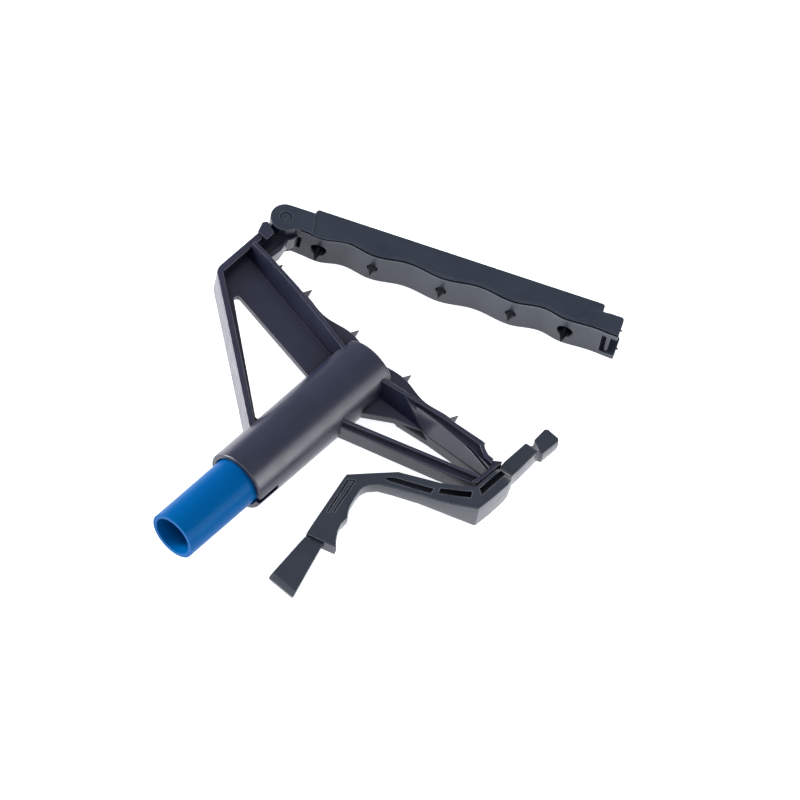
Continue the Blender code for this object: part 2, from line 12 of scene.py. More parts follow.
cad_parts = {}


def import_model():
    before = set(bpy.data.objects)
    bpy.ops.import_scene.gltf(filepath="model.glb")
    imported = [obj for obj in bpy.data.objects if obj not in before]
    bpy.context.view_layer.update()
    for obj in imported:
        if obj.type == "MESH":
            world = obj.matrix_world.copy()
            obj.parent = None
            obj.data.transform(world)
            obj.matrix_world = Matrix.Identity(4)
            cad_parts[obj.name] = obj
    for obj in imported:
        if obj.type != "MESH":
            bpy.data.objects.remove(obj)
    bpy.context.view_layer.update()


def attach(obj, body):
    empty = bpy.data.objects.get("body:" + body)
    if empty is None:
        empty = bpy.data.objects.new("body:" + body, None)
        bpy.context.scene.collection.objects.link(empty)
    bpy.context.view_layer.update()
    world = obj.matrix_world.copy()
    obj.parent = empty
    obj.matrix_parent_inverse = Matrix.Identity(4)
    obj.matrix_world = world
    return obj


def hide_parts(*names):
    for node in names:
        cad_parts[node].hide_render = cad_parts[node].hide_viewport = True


MM = 0.001
GAP = 0.3                      # running and assembly gap between separate pieces

# Where the model's origin lies in the design frame
ORIGIN_X = 84.45
ORIGIN_Y = -44.286

# Handle and socket collar
HANDLE_X = 82.0                # axis of the handle, which is the middle of the gripping width
HANDLE_R = 12.7                # 1 inch tube
HANDLE_WALL = 2.4
HANDLE_TOP = -46.0
HANDLE_CUT = -167.0
COLLAR_R = 16.0
COLLAR_TOP = -27.0
COLLAR_MOUTH = -122.0
COLLAR_FILLET = 1.6
SLOT_LENGTH = 13.0             # relief slot in the mouth, on the trigger side
SLOT_WIDTH = 4.0
SCREW_Y = -104.0
SCREW_R = 1.5
SCREW_HEAD_R = 3.6
ROUND = 96                     # facets of the collar and the handle
SHARP_ANGLE = 38.0             # degrees between faces, above which an edge is shaded sharp

# Frame
RIM_Z = 10.0                   # half depth of the gripping arms
CORE_Z = 5.0                   # half depth of the wavy core and of the solid arm and brace
WEB_Z = 1.5                    # half depth of the thin webs
GUSSET_Z = (-3.2, 1.5)
ARM_ROOT_Z = (-4.9, -1.1)
STRUT_Z = 8.0                  # half depth of the post and the strut
BRACE_Z = 8.0
RIM_WIDTH = 2.1
POST_X = -2.3
STRUT_WIDTH = 3.6
TOOTH_TIP_Y = -15.0
LAST_TOOTH_X = 145.0
LAST_TOOTH_TIP_Y = -16.6
TOOTH_BASE = 4.8
TOOTH_OFFSETS = (17.3, 48.5, 67.9)

# Jaw, in its own frame: u along the jaw, v across it, away from the frame
JAW_OPEN = 25.5                # degrees between the jaw and the frame at rest
JAW_Z = 10.0
LOBE_R = 7.5
STRAP_V = 7.6
STRAP_U = 12.6
BACK_V = 10.2
BACK_U = 160.0
HOLLOW_U = (16.5, 156.0)
PRONG_U = 171.0
PRONG_V = 6.0
FORK_U = 163.2
FORK_Z = 7.0
GROOVE_V = (0.2, 1.15)         # above the gripping wave
CLEVIS_U = 10.3
CLEVIS_Z = 4.6
TONGUE_Z = 4.3
WALL = 2.5
PLATE = 2.6
PIN_R = 2.75
STUD_U = (19.5, 145.0)
CATCH_U = (165.4, 167.4)       # bar between the fork's prongs, which the hook holds
CATCH_V = (-5.0, -2.8)
SPIKE_U = (47.0, 82.0, 117.5)
SPIKE_BASE = 4.4
SPIKE_PIT_R = 2.8
SPIKE_PIT_DEPTH = 0.9
RIB_U = (32.5, 47.0, 64.0, 82.0, 99.5, 117.5, 132.0)
RIB = 1.8
RIB_TOP_V = 7.0
SPIKE_TIP_V = -10.9
STUD_TIP_V = -12.8
STUD_HOLE_R = 3.8
STUD_BOSS_R = 5.6
STUD_SHANK_R = 1.8
JAW_WAVE = ((9.0, -5.0), (19.5, -5.9), (32.5, -3.6), (47.0, -5.8), (64.0, -3.6), (82.0, -5.8),
            (99.5, -3.6), (117.5, -5.8), (132.0, -3.6), (145.0, -5.8), (158.0, -5.2), (171.0, -5.9))

# Trigger lever
PIVOT = (169.7, -39.0)
LEVER_DRAFT = 0.45             # bulge of the lever's sides at mid-depth, where the mould parts
LEVER_EDGE = 0.8
LUG_R = 3.8
LUG_Z = (-2.4, 0.5)
LEVER_POCKET_Z = (-5.2, 0.8)
PIVOT_PIN_R = 1.75
PIVOT_PIN_Z = (-7.2, 1.5)
SPRING_WIRE_R = 0.4
SPRING_R = 2.9
BLADE_Z = (-0.5, 1.7)

# Each section across the lever: the inner edge, the outer edge and half the depth
LEVER_SECTIONS = (
    ((126.4, -120.4), (141.6, -115.4), 3.6),
    ((125.7, -118.0), (138.8, -112.6), 3.6),
    ((124.5, -113.3), (135.6, -108.0), 3.6),
    ((123.3, -108.3), (134.0, -103.8), 3.6),
    ((122.2, -103.7), (133.8, -99.0), 3.6),
    ((121.5, -100.8), (132.0, -96.8), 3.6),
    ((120.6, -97.0), (130.2, -93.4), 3.6),
    ((119.2, -91.2), (128.6, -88.2), 3.6),
    ((117.6, -84.4), (127.4, -82.6), 3.6),
    ((117.0, -81.5), (128.3, -78.6), 3.6),
    ((125.0, -71.8), (131.6, -74.4), 3.6),
    ((133.2, -62.2), (137.6, -70.8), 3.7),
    ((144.5, -56.0), (149.6, -64.4), 4.2),
    ((151.5, -52.4), (158.0, -60.6), 4.7),
    ((160.0, -46.9), (167.4, -55.9), 6.2),
    ((165.9, -43.2), (175.6, -51.4), 8.0),
    ((165.9, -37.0), (176.1, -42.0), 8.0),
    ((165.9, -30.8), (175.9, -31.2), 7.8),
    ((165.9, -27.9), (175.2, -27.4), 7.2),
    ((165.8, -26.4), (173.8, -25.8), 5.7),
    ((165.6, -24.2), (173.1, -23.4), 5.4),
    ((165.1, -21.0), (173.1, -20.0), 5.4),
    ((165.0, -6.2), (172.3, -6.2), 5.35),
    ((165.5, -5.6), (172.1, -5.6), 5.3),
    ((168.0, -5.1), (172.1, -5.1), 5.2),
    ((168.0, -2.2), (172.8, -4.4), 4.3),
    ((166.2, -0.8), (174.5, -3.9), 4.0),
    ((165.6, 7.2), (174.8, 7.4), 4.0),
    ((166.6, 8.6), (173.6, 8.6), 4.0),
)
SLOT_A = ((130.8, -69.9), (134.2, -69.2), (152.4, -60.4), (152.0, -57.0), (134.0, -66.0))
SLOT_B = ((155.0, -57.6), (168.5, -49.2), (166.7, -46.2), (153.9, -54.6))
SLOT_C = ((168.0, -42.7), (171.3, -44.6), (171.0, -26.6), (167.9, -26.4))


def arc(centre, radius, start, end, steps):
    """Points on a circle from one angle to another, in degrees, both ends included."""
    points = []
    for i in range(steps + 1):
        angle = math.radians(start + (end - start) * i / steps)
        points.append((centre[0] + radius * math.cos(angle), centre[1] + radius * math.sin(angle)))
    return points


def filleted(corners, steps=4):
    """A closed outline from (x, y, radius) corners, with each corner replaced by an arc."""
    outline = []
    count = len(corners)
    for i, (x, y, radius) in enumerate(corners):
        here = Vector((x, y))
        if radius <= 0.0:
            outline.append((x, y))
            continue
        before = (Vector(corners[i - 1][:2]) - here).normalized()
        after = (Vector(corners[(i + 1) % count][:2]) - here).normalized()
        half = before.angle(after) / 2.0
        centre = here + (before + after).normalized() * radius / math.sin(half)
        start = here + before * radius / math.tan(half) - centre
        end = here + after * radius / math.tan(half) - centre
        turn = start.angle_signed(end)
        for k in range(steps + 1):
            spot = centre + Matrix.Rotation(-turn * k / steps, 2) @ start
            outline.append((spot.x, spot.y))
    return outline


def wave(knots, x):
    """Height of a wavy face whose crests and valleys are the knots, with rounded turns."""
    for (x0, y0), (x1, y1) in zip(knots, knots[1:]):
        if x <= x1:
            part = (x - x0) / (x1 - x0)
            return y0 + (y1 - y0) * (1.0 - math.cos(math.pi * part)) / 2.0
    return knots[-1][1]


def spread(start, end, count):
    return [start + (end - start) * i / count for i in range(count + 1)]


def stack(levels):
    """Closed solid through outlines of equal length, given as (z, outline) from back to front."""
    shape = bmesh.new()
    rings = []
    for z, outline in levels:
        rings.append([shape.verts.new((x, y, z)) for x, y in outline])
    for low, high in zip(rings, rings[1:]):
        for i in range(len(low)):
            j = (i + 1) % len(low)
            shape.faces.new((low[i], low[j], high[j], high[i]))
    shape.faces.new(list(reversed(rings[0])))
    shape.faces.new(rings[-1])
    bmesh.ops.recalc_face_normals(shape, faces=shape.faces)
    return shape


def prism(outline, low, high):
    return stack(((low, outline), (high, outline)))


def turned(profile, steps=ROUND):
    """Solid of revolution about the Z axis from an (r, z) profile that closes on the axis."""
    shape = bmesh.new()
    rings = []
    for radius, z in profile:
        if radius == 0.0:
            rings.append([shape.verts.new((0.0, 0.0, z))])
            continue
        circle = arc((0.0, 0.0), radius, 0.0, 360.0 - 360.0 / steps, steps - 1)
        rings.append([shape.verts.new((x, y, z)) for x, y in circle])
    for low, high in zip(rings, rings[1:]):
        for i in range(steps):
            j = (i + 1) % steps
            corners = [low[i % len(low)], low[j % len(low)], high[j % len(high)], high[i % len(high)]]
            shape.faces.new(list(dict.fromkeys(corners)))
    bmesh.ops.recalc_face_normals(shape, faces=shape.faces)
    return shape


def tube(outer, inner, low, high, steps):
    """Plain hollow cylinder along the Z axis."""
    shape = bmesh.new()
    rings = []
    for radius, z in ((outer, low), (outer, high), (inner, high), (inner, low)):
        circle = arc((0.0, 0.0), radius, 0.0, 360.0 - 360.0 / steps, steps - 1)
        rings.append([shape.verts.new((x, y, z)) for x, y in circle])
    for k in range(4):
        low_ring = rings[k]
        high_ring = rings[(k + 1) % 4]
        for i in range(steps):
            j = (i + 1) % steps
            shape.faces.new((low_ring[i], low_ring[j], high_ring[j], high_ring[i]))
    bmesh.ops.recalc_face_normals(shape, faces=shape.faces)
    return shape


def hull(points):
    shape = bmesh.new()
    for point in points:
        shape.verts.new(point)
    bmesh.ops.convex_hull(shape, input=shape.verts)
    bmesh.ops.recalc_face_normals(shape, faces=shape.faces)
    return shape


def along_y(shape, centre_x, base_y):
    """Lay a solid made along Z along +Y instead, on the mid-plane."""
    turn = Matrix.Rotation(math.radians(-90.0), 4, "X")
    shape.transform(Matrix.Translation((centre_x, base_y, 0.0)) @ turn)
    return shape


def moved(shape, x, y):
    shape.transform(Matrix.Translation((x, y, 0.0)))
    return shape


def spike(x, base_y, tip_y, size):
    """Four-sided pyramid that stands along Y on the mid-plane, with its base sunk into the plate."""
    half = size / 2.0
    corners = [(x + dx, base_y, dz) for dx in (-half, half) for dz in (-half, half)]
    return hull(corners + [(x, tip_y, 0.0)])


def soft(shape, width=0.35, steps=3, angle=28.0):
    """Round every sharp edge of a solid."""
    limit = math.radians(angle)
    edges = [e for e in shape.edges if len(e.link_faces) == 2 and e.calc_face_angle(0.0) > limit]
    bmesh.ops.bevel(shape, geom=edges, offset=width, offset_type="OFFSET", segments=steps, profile=0.5,
                    affect="EDGES", clamp_overlap=True)
    return shape


def solid(name, shape):
    """Make an object from a shape in design millimetres."""
    mesh = bpy.data.meshes.new(name)
    shape.to_mesh(mesh)
    shape.free()
    item = bpy.data.objects.new(name, mesh)
    bpy.context.scene.collection.objects.link(item)
    return item


def combine(item, operation, shapes):
    """Join shapes to the item, or cut them from it. The shapes are in design millimetres."""
    for shape in shapes:
        tool = solid("tool", shape)
        step = item.modifiers.new("step", "BOOLEAN")
        step.operation = operation
        step.solver = "EXACT"
        step.object = tool
        bpy.context.view_layer.update()
        result = item.evaluated_get(bpy.context.evaluated_depsgraph_get())
        mesh = bpy.data.meshes.new_from_object(result)
        item.modifiers.clear()
        item.data = mesh
        bpy.data.objects.remove(tool, do_unlink=True)


TO_WORLD = Matrix.Scale(MM, 4) @ Matrix.Translation((-ORIGIN_X, -ORIGIN_Y, COLLAR_R))
JAW_TURN = Matrix.Rotation(math.radians(JAW_OPEN), 4, "Z")


def shown(item, node, body, material, turn=None):
    """Put a finished piece in place of its CAD node."""
    item.data.transform(TO_WORLD @ turn if turn else TO_WORLD)
    item.data.materials.clear()
    item.data.materials.append(material)
    item.data.shade_smooth()
    item.data.set_sharp_from_angle(angle=math.radians(SHARP_ANGLE))
    weigh = item.modifiers.new("normals", "WEIGHTED_NORMAL")
    weigh.keep_sharp = True
    weigh.weight = 60
    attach(item, body)
    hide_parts(node)


# Socket collar and frame

# Straight front rim of each arm, as its upper edge
LEFT_RIM = ((-1.0, -20.6), (12.0, -21.8), (31.4, -24.4), (47.0, -27.5), (70.0, -32.3))
RIGHT_RIM = ((94.0, -32.3), (117.0, -27.6), (133.0, -25.2), (152.0, -22.6), (155.3, -25.0),
             (158.6, -26.4), (162.0, -26.2), (165.3, -23.4))
# Lower edge of each arm on the mid-plane
LEFT_BASE = ((-1.0, -25.3), (12.0, -27.4), (31.4, -30.7), (47.0, -33.2), (70.0, -37.1))
CORE_WAVE = ((-1.0, -21.5), (14.0, -21.9), (33.5, -22.1), (49.0, -24.4), (64.7, -22.0),
             (82.0, -24.4), (99.3, -22.0), (115.0, -24.4), (130.5, -22.1), (150.0, -23.2),
             (165.0, -27.0))


def collar():
    top = COLLAR_TOP - COLLAR_MOUTH
    profile = [(0.0, 0.0)] + arc((COLLAR_R - 0.9, 0.9), 0.9, -90.0, 0.0, 5)
    profile += arc((COLLAR_R - COLLAR_FILLET, top - COLLAR_FILLET), COLLAR_FILLET, 0.0, 90.0, 8)
    profile.append((0.0, top))
    return along_y(turned(profile), HANDLE_X, COLLAR_MOUTH)


def left_arm():
    """Gripping arm whose lower side slopes from the front and back rims to the web."""
    outer = list(LEFT_RIM) + [(x, y - RIM_WIDTH) for x, y in reversed(LEFT_RIM)]
    inner = list(LEFT_RIM) + list(reversed(LEFT_BASE))
    return soft(stack(((-RIM_Z, outer), (-WEB_Z, inner), (WEB_Z, inner), (RIM_Z, outer))), 0.4)


def rim_line():
    """Fine bead along the upper edge of the left rim's front face."""
    upper = [(x, y - 0.1) for x, y in LEFT_RIM[1:]]
    lower = [(x, y - 0.6) for x, y in reversed(LEFT_RIM[1:])]
    return soft(prism(upper + lower, 8.0, RIM_Z + 0.18), 0.15, 2)


def base_line():
    """Fine bead where the sloping side meets the left web."""
    upper = [(x, y - 0.1) for x, y in LEFT_BASE[1:]]
    lower = [(x, y - 0.7) for x, y in reversed(LEFT_BASE[1:])]
    return soft(prism(upper + lower, -WEB_Z - 0.3, WEB_Z + 0.3), 0.2, 2)


def right_rim():
    lower = [(x, y - RIM_WIDTH) for x, y in RIGHT_RIM[:3]]
    lower += [(152.0, -25.6), (158.0, -28.8), (165.2, -29.2)]
    return soft(prism(list(RIGHT_RIM) + list(reversed(lower)), -RIM_Z, RIM_Z), 0.4)


def right_wall():
    """Wall under the right rim, from the collar to the solid end of the arm."""
    inner = ((94.0, -31.2), (108.0, -29.0), (126.0, -28.0), (126.0, -35.2), (97.8, -37.2), (94.0, -37.5))
    outer = ((94.0, -31.2), (104.0, -29.6), (107.6, -29.2), (107.6, -31.4), (97.8, -33.4), (94.0, -34.1))
    return stack(((-RIM_Z + 0.4, outer), (-WEB_Z, inner), (WEB_Z, inner), (RIM_Z - 0.4, outer)))


def right_rim_line():
    upper = [(x, y - 0.1) for x, y in RIGHT_RIM[:3]]
    lower = [(x, y - 0.6) for x, y in reversed(RIGHT_RIM[:3])]
    return soft(prism(upper + lower, 8.0, RIM_Z + 0.18), 0.15, 2)


def right_rim_end():
    """The rim slims down towards the trigger, so that the stem's root is no deeper than it."""
    return prism(((159.5, -20.0), (167.0, -20.0), (167.0, -32.0), (164.0, -32.0)), BRACE_Z, RIM_Z + 1.0)


def core():
    """Wavy gripping core that carries the teeth, and the solid end of the right arm."""
    top = [(x, wave(CORE_WAVE, x)) for x in spread(2.0, 154.0, 76)]
    low = [(160.0, -27.4), (164.6, -27.4), (164.6, -29.6), (130.0, -29.6), (110.2, -31.0),
           (96.0, -30.0), (82.0, -30.0), (66.0, -31.5), (47.0, -28.6), (12.0, -23.4), (2.0, -22.8)]
    return soft(prism(top + low, -CORE_Z, CORE_Z), 0.4)


def left_web():
    outline = ((-2.0, -24.0), (70.0, -36.0), (70.0, -96.5), (-2.0, -43.0))
    return prism(outline, -WEB_Z, WEB_Z)


def left_opening():
    corners = ((6.0, -43.9, 1.9), (66.3, -90.9, 1.5), (66.3, -53.4, 1.5))
    return prism(filleted(corners, 8), -RIM_Z, RIM_Z)


def post_and_strut():
    half = STRUT_WIDTH / 2.0
    slope = Vector((67.0, -51.7)).normalized()
    across = Vector((-slope.y, slope.x)) * half
    end = Vector((70.0, -98.3))
    corners = (
        (POST_X - half, -9.0, 0.0),
        (POST_X - half, -45.2, 7.0),
        (end.x - across.x, end.y - across.y, 0.0),
        (end.x + across.x, end.y + across.y, 0.0),
        (POST_X + half, -43.6, 1.6),
        (POST_X + half, -9.0, 0.0),
    )
    return soft(prism(filleted(corners, 10), -STRUT_Z, STRUT_Z), 0.7, 4)


def ear():
    corners = ((-4.1, -15.6, 0.8), (2.0, -15.6, 0.5), (1.8, -9.6, 1.4), (-1.4, -8.7, 0.8),
               (-4.9, -7.5, 1.0), (-6.3, -9.8, 1.3))
    return soft(prism(filleted(corners, 6), -RIM_Z + 0.8, RIM_Z - 0.8), 0.9, 5)


def tongue():
    """Knuckle that the jaw's clevis straddles."""
    outline = arc((0.0, 0.0), 6.9, 205.0, 32.0, 22)
    outline += arc((0.0, 0.0), 9.6, 12.0, -36.0, 9)
    outline += [(9.3, -12.6), (8.8, -20.0), (8.8, -23.0), (-1.0, -24.0), (-3.6, -18.0), (-4.1, -10.0)]
    return soft(prism(list(reversed(outline)), -TONGUE_Z, TONGUE_Z), 0.35)


def tongue_pocket():
    """Shallow pocket in the front of the knuckle's root, inside a narrow rim."""
    corners = ((0.6, -9.9, 1.0), (6.0, -5.6, 1.2), (7.6, -9.0, 1.2), (7.0, -19.5, 0.6), (0.6, -18.6, 0.6))
    return prism(filleted(corners, 4), TONGUE_Z - 1.5, TONGUE_Z + 4.0)


def gusset():
    """Thick web in the corner between the collar and the right arm."""
    outline = ((94.0, -30.0), (124.0, -30.0), (130.0, -34.4), (127.6, -34.9), (110.8, -40.6),
               (97.9, -49.7), (94.0, -52.6))
    return soft(prism(outline, *GUSSET_Z), 0.3, 2)


def arm_root():
    """Back half of the solid arm, which runs on behind the gusset."""
    outline = ((108.0, -32.0), (130.0, -32.0), (130.0, -36.8), (112.4, -39.8), (108.0, -38.4))
    return soft(prism(outline, *ARM_ROOT_Z), 0.3, 2)


def solid_arm():
    """Solid end of the right arm, whose front slopes back from the rim to its lower edge."""
    rim = ((107.0, -30.0), (117.0, -28.4), (133.0, -26.2), (152.0, -24.6), (164.6, -27.6))
    full = list(rim) + [(164.6, -33.4), (129.4, -36.8), (106.6, -31.8)]
    slim = list(rim) + [(164.6, -28.9), (129.4, -29.0), (106.6, -30.8)]
    return soft(stack(((-CORE_Z, full), (2.6, full), (6.4, slim))), 0.3, 2)


def arm_groove():
    return prism(((146.5, -28.3), (150.6, -28.4), (162.6, -30.0), (162.6, -30.7), (150.4, -29.2),
                  (146.5, -29.1)), 3.2, 8.0)


def brace_rim():
    outline = ((92.0, -63.2), (163.4, -36.6), (163.4, -38.4), (92.0, -65.1))
    return soft(prism(outline, -BRACE_Z, BRACE_Z), 0.35)


def brace_core():
    outline = ((92.0, -63.8), (163.8, -37.2), (163.8, -41.2), (146.5, -48.0), (92.0, -67.0))
    return soft(prism(outline, -CORE_Z, CORE_Z), 0.6, 4)


def end_wall():
    outline = ((163.0, -26.2), (165.4, -24.0), (165.4, -37.0), (164.9, -41.4), (162.4, -41.6),
               (163.0, -37.0))
    return soft(prism(outline, -BRACE_Z + 0.5, BRACE_Z - 0.5), 0.4)


def lug():
    """Root of the trigger's hinge, which reaches inside the lever."""
    y = PIVOT[1]
    outline = [(164.0, y - 3.0)] + arc(PIVOT, LUG_R, -128.0, 128.0, 18) + [(164.0, y + 3.0)]
    return prism(outline, *LUG_Z)


def mouth_slot():
    """Relief slot in the collar's mouth, with a rounded end."""
    half = SLOT_WIDTH / 2.0
    low = COLLAR_MOUTH - 2.0
    corners = ((low, -half, 0.0), (low, half, 0.0), (COLLAR_MOUTH + SLOT_LENGTH, half, 1.2),
               (COLLAR_MOUTH + SLOT_LENGTH, -half, 1.2))
    shape = prism(filleted(corners, 5), HANDLE_X + COLLAR_R - 6.0, HANDLE_X + COLLAR_R + 2.0)
    shape.transform(Matrix(((0.0, 0.0, 1.0, 0.0), (1.0, 0.0, 0.0, 0.0), (0.0, 1.0, 0.0, 0.0),
                            (0.0, 0.0, 0.0, 1.0))))
    return shape


def frame_cuts():
    depth = HANDLE_TOP + GAP - COLLAR_MOUTH
    wall = HANDLE_R + GAP
    profile = ((0.0, -2.0), (wall + 2.6, -2.0), (wall, 0.6), (wall, depth), (0.0, depth))
    bore = along_y(turned(profile), HANDLE_X, COLLAR_MOUTH)
    hinge = prism(arc((0.0, 0.0), PIN_R + GAP, 0.0, 352.5, 47), -RIM_Z, RIM_Z)
    pivot = prism(arc(PIVOT, PIVOT_PIN_R + GAP, 0.0, 345.0, 23), -RIM_Z, RIM_Z)
    head = SCREW_HEAD_R + GAP
    shank = SCREW_R + GAP
    seat = turned(((0.0, -20.0), (head, -20.0), (head, -14.6), (shank, -12.6), (shank, -8.0),
                   (0.0, -8.0)), 48)
    return [bore, mouth_slot(), hinge, pivot, moved(seat, HANDLE_X, SCREW_Y)]


def teeth():
    shapes = []
    for side in (-1.0, 1.0):
        for offset in TOOTH_OFFSETS:
            x = HANDLE_X + side * offset
            base = wave(CORE_WAVE, x) - 1.0
            tip = LAST_TOOTH_TIP_Y if x > LAST_TOOTH_X else TOOTH_TIP_Y
            shapes.append(soft(spike(x, base, tip, TOOTH_BASE), 0.18, 2))
    return shapes


def head_frame(material):
    item = solid("frame_moulding", collar())
    combine(item, "UNION", [left_arm(), right_rim(), right_wall(), core(), left_web(), post_and_strut(),
                            ear(), tongue(), gusset(), arm_root(), solid_arm(), brace_rim(), brace_core(),
                            end_wall(), lug(), rim_line(), right_rim_line(), base_line()])
    combine(item, "UNION", teeth())
    combine(item, "DIFFERENCE", [left_opening(), right_rim_end(), tongue_pocket(), arm_groove()]
            + frame_cuts())
    shown(item, "head_frame", "frame", material)


# Gripping jaw, built in its own frame and turned to its rest angle

def jaw_outline():
    wavy = [(u, wave(JAW_WAVE, u)) for u in spread(CLEVIS_U, PRONG_U, 84)]
    lobe = arc((0.0, 0.0), LOBE_R, 88.0, 290.0, 40)
    back = filleted(((PRONG_U, -3.0, 0.0), (PRONG_U, PRONG_V, 1.8), (BACK_U, PRONG_V, 0.0),
                     (BACK_U, BACK_V, 1.6), (STRAP_U + 0.8, BACK_V, 1.4), (STRAP_U, STRAP_V, 0.4)), 6)
    return lobe + [(6.3, -4.7)] + wavy + back


def jaw_hollow():
    """Channel that is open at the back of the jaw and closed at both ends."""
    first, last = HOLLOW_U
    floor = [(u, wave(JAW_WAVE, u) + PLATE) for u in spread(first, last, 36)]
    return prism(floor + [(last, BACK_V + 3.0), (first, BACK_V + 3.0)],
                 -JAW_Z + WALL, JAW_Z - WALL)


def jaw_box(u0, u1, v0, v1, z0, z1):
    return hull([(u, v, z) for u in (u0, u1) for v in (v0, v1) for z in (z0, z1)])


def jaw_groove():
    """Thin dark line between the front plate of the jaw and its gripping face."""
    low, high = GROOVE_V
    places = spread(9.0, PRONG_U + 1.0, 64)
    upper = [(u, wave(JAW_WAVE, u) + high) for u in places]
    lower = [(u, wave(JAW_WAVE, u) + low) for u in places]
    return prism(upper + list(reversed(lower)), JAW_Z - 1.0, JAW_Z + 1.0)


def jaw_face():
    """The front plate is set back a little above a band that follows the gripping wave."""
    lower = [(u, wave(JAW_WAVE, u) + 1.0) for u in spread(15.0, 33.0, 12)]
    lower += [(u, wave(JAW_WAVE, u) + 2.6) for u in spread(37.0, 149.0, 56)]
    end = [(151.8, -2.2), (152.8, 0.5), (153.8, 3.4), (155.2, 4.9), (157.5, 5.5), (163.0, 5.8)]
    top = [(163.0, 14.0), (11.6, 14.0), (12.0, 9.8), (13.2, 5.5), (14.2, 1.0)]
    return prism(lower + end + top, JAW_Z - 0.4, JAW_Z + 1.0)


def gripping_jaw(material):
    item = solid("jaw_moulding", soft(prism(jaw_outline(), -JAW_Z, JAW_Z), 0.6, 4))
    hinge = prism(arc((0.0, 0.0), PIN_R + GAP, 0.0, 352.5, 47), -2.0 * JAW_Z, 2.0 * JAW_Z)
    clevis = jaw_box(-LOBE_R - 2.0, CLEVIS_U, -12.0, 12.0, -CLEVIS_Z, CLEVIS_Z)
    fork = soft(jaw_box(FORK_U, PRONG_U + 4.0, -12.0, 12.0, -FORK_Z, FORK_Z), 0.5)
    combine(item, "DIFFERENCE", [jaw_hollow(), clevis, fork, hinge])
    bosses = [along_y(turned(((0.0, 0.0), (STUD_BOSS_R, 0.0), (STUD_BOSS_R, 8.0), (STUD_BOSS_R - 0.4, 8.4),
                              (0.0, 8.4)), 48), u, -4.6) for u in STUD_U]
    ribs = [soft(jaw_box(u - RIB / 2.0, u + RIB / 2.0, -3.0, RIB_TOP_V, -JAW_Z + 1.0, JAW_Z - 1.0), 0.3, 2)
            for u in RIB_U]
    catch = soft(jaw_box(*CATCH_U, *CATCH_V, -FORK_Z - 1.0, FORK_Z + 1.0), 0.5, 4)
    nibs = [hull([(PRONG_U - 0.5, v, z) for v in (-1.2, 0.2) for z in (7.6, 9.0)]
                 + [(PRONG_U + 1.3, -0.5, 8.3)]),
            hull([(PRONG_U - 0.5, v, z) for v in (-1.2, 0.2) for z in (-9.0, -7.6)]
                 + [(PRONG_U + 1.3, -0.5, -8.3)])]
    combine(item, "UNION", bosses + ribs + [catch] + nibs)
    rim = STUD_HOLE_R + 0.5
    wide = [along_y(turned(((0.0, 0.0), (STUD_HOLE_R - 0.3, 0.0), (STUD_HOLE_R, -0.3), (STUD_HOLE_R, -3.6),
                            (rim, -4.2), (rim, -7.0), (0.0, -7.0)), 48), u, -1.5) for u in STUD_U]
    shank = STUD_SHANK_R + GAP
    narrow = [along_y(turned(((0.0, 0.0), (shank, 0.0), (shank, 6.2), (0.0, 6.2)), 24), u, -3.5)
              for u in STUD_U]
    pit = ((0.0, -2.0), (SPIKE_PIT_R, -2.0), (SPIKE_PIT_R, SPIKE_PIT_DEPTH), (0.0, SPIKE_PIT_DEPTH))
    pits = [along_y(turned(pit, 40), u, wave(JAW_WAVE, u)) for u in SPIKE_U]
    combine(item, "DIFFERENCE", wide + narrow + pits + [jaw_face(), jaw_groove()])
    shown(item, "gripping_jaw", "jaw", material, JAW_TURN)


def jaw_spikes(material):
    """Three pyramid spikes, each standing on a small foot in a shallow round pit."""
    for number, u in enumerate(SPIKE_U, 1):
        base = wave(JAW_WAVE, u)
        foot = turned(((0.0, 0.0), (1.6, 0.0), (1.9, 0.3), (1.9, 1.2), (0.0, 1.2)), 40)
        item = solid(f"jaw_spike_{number}", soft(spike(u, base + 1.0, SPIKE_TIP_V, SPIKE_BASE), 0.15, 2))
        combine(item, "UNION", [along_y(foot, u, base + 0.2)])
        shown(item, "gripping_jaw", "jaw", material, JAW_TURN)


def end_stud(name, node, u, material):
    """Pointed stud with a cross-ribbed point on a round shank."""
    shank = ((0.0, 0.0), (STUD_SHANK_R, 0.0), (STUD_SHANK_R, 4.2), (STUD_SHANK_R - 0.2, 4.4), (0.0, 4.4))
    item = solid(name, along_y(turned(shank, 32), u, -2.4))
    flange = along_y(turned(((0.0, 0.0), (2.8, 0.0), (3.1, 0.3), (3.1, 0.8), (2.9, 1.0), (0.0, 1.0)), 48),
                     u, -2.9)
    fins = []
    for half_u, half_z in ((2.5, 0.6), (0.6, 2.5)):
        base = [(u + a * half_u, v, b * half_z) for a in (-1, 1) for b in (-1, 1) for v in (-2.2, -5.2)]
        fins.append(soft(hull(base + [(u, STUD_TIP_V, 0.0)]), 0.15, 2))
    point = soft(spike(u, -2.4, STUD_TIP_V, 3.4), 0.15, 2)
    combine(item, "UNION", [flange, point] + fins)
    shown(item, node, "jaw", material, JAW_TURN)


def round_pin(name, node, body, radius, low, high, chamfer, material, turn):
    """Round pin with rounded ends and a shallow dimple in each."""
    profile = [(0.0, low + 0.15), (radius * 0.35, low + 0.15), (radius * 0.45, low)]
    profile += arc((radius - chamfer, low + chamfer), chamfer, -90.0, 0.0, 4)
    profile += arc((radius - chamfer, high - chamfer), chamfer, 0.0, 90.0, 4)
    profile += [(radius * 0.45, high), (radius * 0.35, high - 0.15), (0.0, high - 0.15)]
    shown(solid(name, turned(profile, 48)), node, body, material, turn)


# Trigger lever

